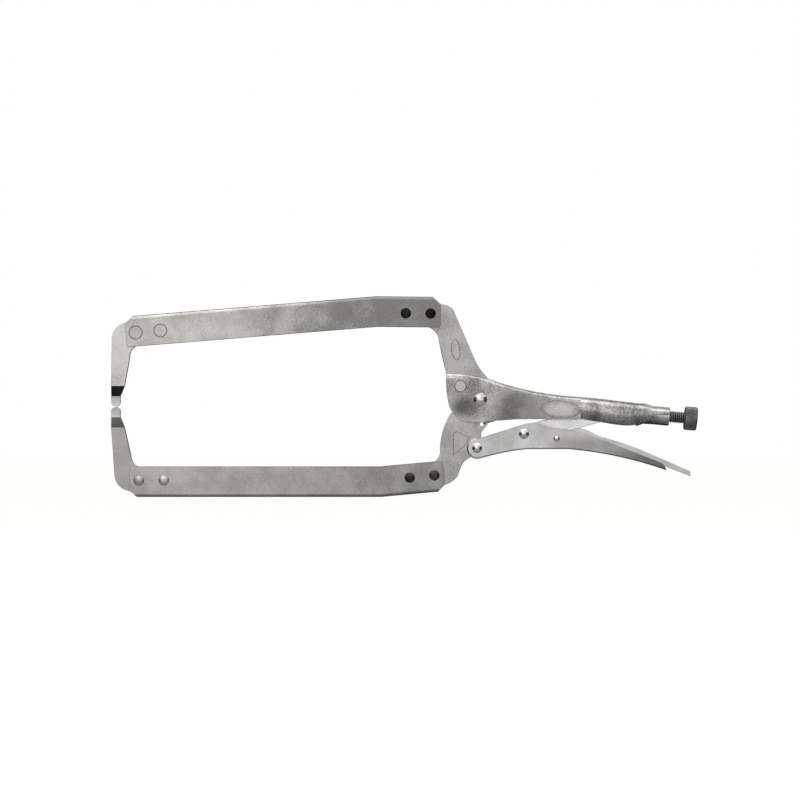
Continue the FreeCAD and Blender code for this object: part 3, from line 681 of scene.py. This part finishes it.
# %% Thread
# Each point is a radius and how far up one turn of the thread it is.
thread_pitch = 1.5
thread_crest = 4.7
thread_root = 3.85
thread_start, thread_turns = 17.0, 29
thread_middle, past_the_end = 30, 99
thread_outline = [(thread_root, 0), (thread_root, 0.16), (thread_crest - 0.12, 0.60), (thread_crest, 0.68),
                  (thread_crest, 0.85), (thread_crest - 0.12, 0.93), (thread_root, 1.37),
                  (thread_root, thread_pitch)]
thread = drawn_line([(radius, thread_start + rise) for radius, rise in thread_outline])
apply_modifier(thread, "SCREW", screw_offset=thread_pitch * MM, iterations=thread_turns,
               steps=40, render_steps=40, use_merge_vertices=True, merge_threshold=0.002 * MM)
edit(thread)
bpy.ops.mesh.select_all(action="SELECT")
bpy.ops.mesh.remove_doubles(threshold=0.002 * MM)
for low, high in ((0, thread_middle), (thread_middle, past_the_end)):
    choose_open_edges(thread, low, high)
    bpy.ops.mesh.extrude_edges_move(TRANSFORM_OT_translate={"value": (0, 0, 0)})
    bpy.ops.mesh.merge(type="CENTER")

# %% Plain ends
# The nose has the stop ring's groove, and the neck runs back into the knob.
nose = turned([(0, 14.0), (3.6, 14.0), (4.3, 14.7), (4.3, 15.35), (3.7, 15.4), (3.7, 16.6), (4.4, 16.65),
               (4.55, 17.2), (3.9, 17.9), (0, 17.95)])
neck = turned([(0, 59.0), (3.6, 59.0), (3.6, 60.1), (3.15, 60.4), (3.15, 69.6), (2.7, 69.9), (0, 69.95)])
screw = joined([thread, nose, neck])
finish_piece(screw, "threaded_screw", lay_along(screw_origin, screw_along))
screw.data.materials.append(black_screw)
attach(screw, "adjusting_screw")
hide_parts("adjusting_screw")

# %% [markdown]
# ## The knurled knob
# A diamond knurl is rolled into the knob by two wheels that leave crossing grooves, so what
# stands up is a net of small pyramids. On a cylinder made of a fine grid of square faces, every
# second vertex is lifted outwards like the white squares of a chessboard. When each square is
# then split along its shorter diagonal, the split runs from valley to valley, and every lifted
# vertex becomes the tip of a four-sided diamond.

# %% Knob body
knob_start, knob_length, knob_radius, knob_chamfer = 59.7, 9.8, 9.3, 0.9
front_chamfer = 0.6
knurl_depth = 0.36
knurl_columns, knurl_rows = 64, 9
groove_radius = knob_radius - knurl_depth
knob_end = knob_start + knob_length
row_height = (knob_length - front_chamfer - knob_chamfer) / knurl_rows
select_nothing()
bpy.ops.mesh.primitive_circle_add(vertices=knurl_columns, radius=(groove_radius - front_chamfer) * MM,
                                  fill_type="NGON", location=(0, 0, knob_start * MM))
knob = bpy.context.object
bpy.ops.object.transform_apply(location=True, rotation=True, scale=True)
edit(knob)
bpy.ops.mesh.select_all(action="SELECT")


def raise_ring(radius_now, radius_next, rise):
    """Extrudes the chosen end face upwards and sets its new radius."""
    bpy.ops.mesh.extrude_region_move(TRANSFORM_OT_translate={"value": (0, 0, rise * MM)})
    factor = radius_next / radius_now
    bpy.ops.transform.resize(value=(factor, factor, 1), center_override=(0, 0, 0))


raise_ring(groove_radius - front_chamfer, groove_radius, front_chamfer)
for row in range(knurl_rows):
    raise_ring(groove_radius, groove_radius, row_height)
raise_ring(groove_radius, knob_radius - knob_chamfer, knob_chamfer)
bpy.ops.mesh.inset(thickness=0.9 * MM, depth=-0.15 * MM)
bpy.ops.mesh.inset(thickness=2.2 * MM, depth=-0.45 * MM)

# %% Knurl
def is_lifted(point):
    around = math.hypot(point.x, point.y)
    if around < (groove_radius - 0.05) * MM:
        return False
    column = round(math.atan2(point.y, point.x) / (2 * math.pi / knurl_columns))
    row = round((point.z / MM - knob_start - front_chamfer) / row_height)
    return 0 < row < knurl_rows and (column + row) % 2 == 0


lifted = choose("VERT", is_lifted)
tip_scale = knob_radius / groove_radius
bpy.ops.transform.resize(value=(tip_scale, tip_scale, 1), center_override=(0, 0, 0))
choose("FACE", lambda middle: math.hypot(middle.x, middle.y) > (groove_radius - 0.15) * MM
       and knob_start + front_chamfer < middle.z / MM < knob_end - knob_chamfer)
bpy.ops.mesh.quads_convert_to_tris(quad_method="SHORTEST_DIAGONAL")
select_nothing()
print("knurl tips:", lifted)
finish_piece(knob, "knurled_knob", lay_along(screw_origin, screw_along), smooth_below=12)
knob.data.materials.append(black_knob)
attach(knob, "adjusting_screw")
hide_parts("screw_knob")

# %% [markdown]
# ## Raised outlines from the dies
# The forging die leaves a small raised oval on the fixed knee and a raised triangle on the
# moving one, and the press leaves a larger oval on each cheek of the handle. They are left
# blank. Each starts as a flat face turned towards the side, is inset to a band, loses its
# middle, and gets its thickness from Solidify and its soft shoulders from Bevel. All but the
# handle's inner oval are coloured dark, as painted shade along each thin ridge.

# %% Bands
def band(flat, name, width, proud, sunk, surface, metal, body):
    """Turns a flat face lying on y = 0 into a raised band on both sides of the tool."""
    edit(flat)
    bpy.ops.mesh.select_all(action="SELECT")
    bpy.ops.mesh.select_mode(type="FACE")
    bpy.ops.mesh.inset(thickness=width * MM)
    bpy.ops.mesh.delete(type="FACE")
    select_nothing()
    flat.select_set(True)
    bpy.ops.object.duplicate()
    sides = [flat, bpy.context.object]
    for side, one in zip((-1, 1), sides):
        edit(one)
        bpy.ops.mesh.select_all(action="SELECT")
        bpy.ops.transform.translate(value=(0, side * (surface + proud - (proud + sunk) / 2) * MM, 0))
        select_nothing()
        apply_modifier(one, "SOLIDIFY", thickness=(proud + sunk) * MM, offset=0)
        apply_modifier(one, "BEVEL", width=min(width, proud) * 0.45 * MM, segments=2, limit_method="ANGLE")
    ring = joined(sides)
    finish_piece(ring, name, Matrix.Identity(4), smooth_below=50)
    ring.data.materials.append(metal)
    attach(ring, body)


def flat_oval(centre, long_half, short_half, lean):
    """A flat oval in the XZ plane, its long side leaning from X by lean degrees."""
    select_nothing()
    bpy.ops.mesh.primitive_circle_add(vertices=48, radius=1 * MM, fill_type="NGON")
    made = bpy.context.object
    placement = Matrix.Translation(Vector((centre[0], 0, centre[1])) * MM)
    upright = Matrix.Rotation(math.pi / 2, 4, "X")
    placement = placement @ Matrix.Rotation(math.radians(-lean), 4, "Y") @ upright
    made.matrix_world = placement @ Matrix.Diagonal((long_half, short_half, 1, 1))
    bpy.ops.object.transform_apply(location=True, rotation=True, scale=True)
    return made


def flat_outline(points):
    """A flat face in the XZ plane with these corners, its corners rounded."""
    made = drawn_line(points)
    bpy.ops.mesh.select_all(action="SELECT")
    bpy.ops.mesh.edge_face_add()
    bpy.ops.mesh.select_all(action="SELECT")
    bpy.ops.mesh.bevel(offset=1.0 * MM, segments=4, affect="VERTICES")
    select_nothing()
    return made


# %% The outlines
cheek_surface, forging_surface = 6.6, 4.5
band_sunk = 0.15
handle_oval_at, handle_oval_lean = (345.0, -2.0), -4
knee_oval_at, knee_oval_lean = (263.8, 44.2), 96
triangle_corners = [(261.7, -20.5), (264.1, -18.8), (274.5, -23.9), (272.3, -29.1), (261.6, -38.0)]
band(flat_oval(handle_oval_at, 15.5, 6.9, handle_oval_lean), "handle_oval", 0.5, 0.4, band_sunk,
     cheek_surface, die_line_painted_shade, "upper_handle_and_jaw")
band(flat_oval(handle_oval_at, 14.2, 5.6, handle_oval_lean), "handle_inner_oval", 0.6, 0.25, band_sunk,
     cheek_surface, handle_steel, "upper_handle_and_jaw")
band(flat_oval(knee_oval_at, 8.2, 3.5, knee_oval_lean), "knee_oval", 0.5, 0.25, band_sunk,
     forging_surface, die_line_painted_shade, "upper_handle_and_jaw")
band(flat_outline(triangle_corners), "knee_triangle", 0.5, 0.22, band_sunk,
     forging_surface, die_line_painted_shade, "moving_jaw")

# %% [markdown]
# ## The tension spring
# The spring that throws the jaw open is wound from 1.2 mm wire with its turns touching. One
# ring of wire is swept up its helix by the Screw modifier, as the thread was. The hook at each
# end is the same ring extruded straight and spun half round. The spring joins two pieces that
# turn against each other.

# %% Coil
wire, coil_radius = 0.6, 2.5
coil_start, coil_end = 20.0, spring_span / MM - 6.3
coil_middle = (coil_start + coil_end) / 2
coil_pitch = 1.32
coil_turns = round((coil_end - coil_start) / coil_pitch)
select_nothing()
bpy.ops.mesh.primitive_circle_add(
    vertices=8, radius=wire * MM, fill_type="NOTHING", rotation=(math.pi / 2, 0, 0),
    location=((coil_radius - wire) * MM, 0, coil_start * MM))
coil = bpy.context.object
bpy.ops.object.transform_apply(location=True, rotation=True, scale=True)
apply_modifier(coil, "SCREW", screw_offset=coil_pitch * MM, iterations=coil_turns, steps=20, render_steps=20)
edit(coil)
for low, high in ((0, coil_middle), (coil_middle, past_the_end)):
    choose_open_edges(coil, low, high)
    bpy.ops.mesh.edge_face_add()
select_nothing()


# %% Hooks
hook_bend, hook_tail = 2.1, 2.4
hook_overlap, hook_past_hole = 0.3, 1.0


def hook(base, reach):
    """A bent wire on the side of the coil: straight from base, half round at reach, and back."""
    down = 1 if reach > base else -1
    select_nothing()
    bpy.ops.mesh.primitive_circle_add(vertices=8, radius=wire * MM, fill_type="NGON",
                                      location=(0, hook_bend * MM, base * MM))
    made = bpy.context.object
    bpy.ops.object.transform_apply(location=True, rotation=True, scale=True)
    turn_at = reach - down * hook_bend
    edit(made)
    bpy.ops.mesh.select_all(action="SELECT")
    bpy.ops.mesh.extrude_region_move(TRANSFORM_OT_translate={"value": (0, 0, (turn_at - base) * MM)})
    bpy.ops.mesh.spin(steps=12, angle=math.pi, center=(0, 0, turn_at * MM), axis=(down, 0, 0))
    bpy.ops.mesh.extrude_region_move(TRANSFORM_OT_translate={"value": (0, 0, -down * hook_tail * MM)})
    select_nothing()
    return made


near_hook = hook(coil_start + hook_overlap, -hook_past_hole)
far_hook = hook(coil_end - hook_overlap, spring_span / MM + hook_past_hole)
spring = joined([coil, near_hook, far_hook])
finish_piece(spring, "coil_spring", lay_along(spring_hole, spring_along), smooth_below=50)
spring.data.materials.append(spring_steel)
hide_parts("tension_spring")
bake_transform(spring)
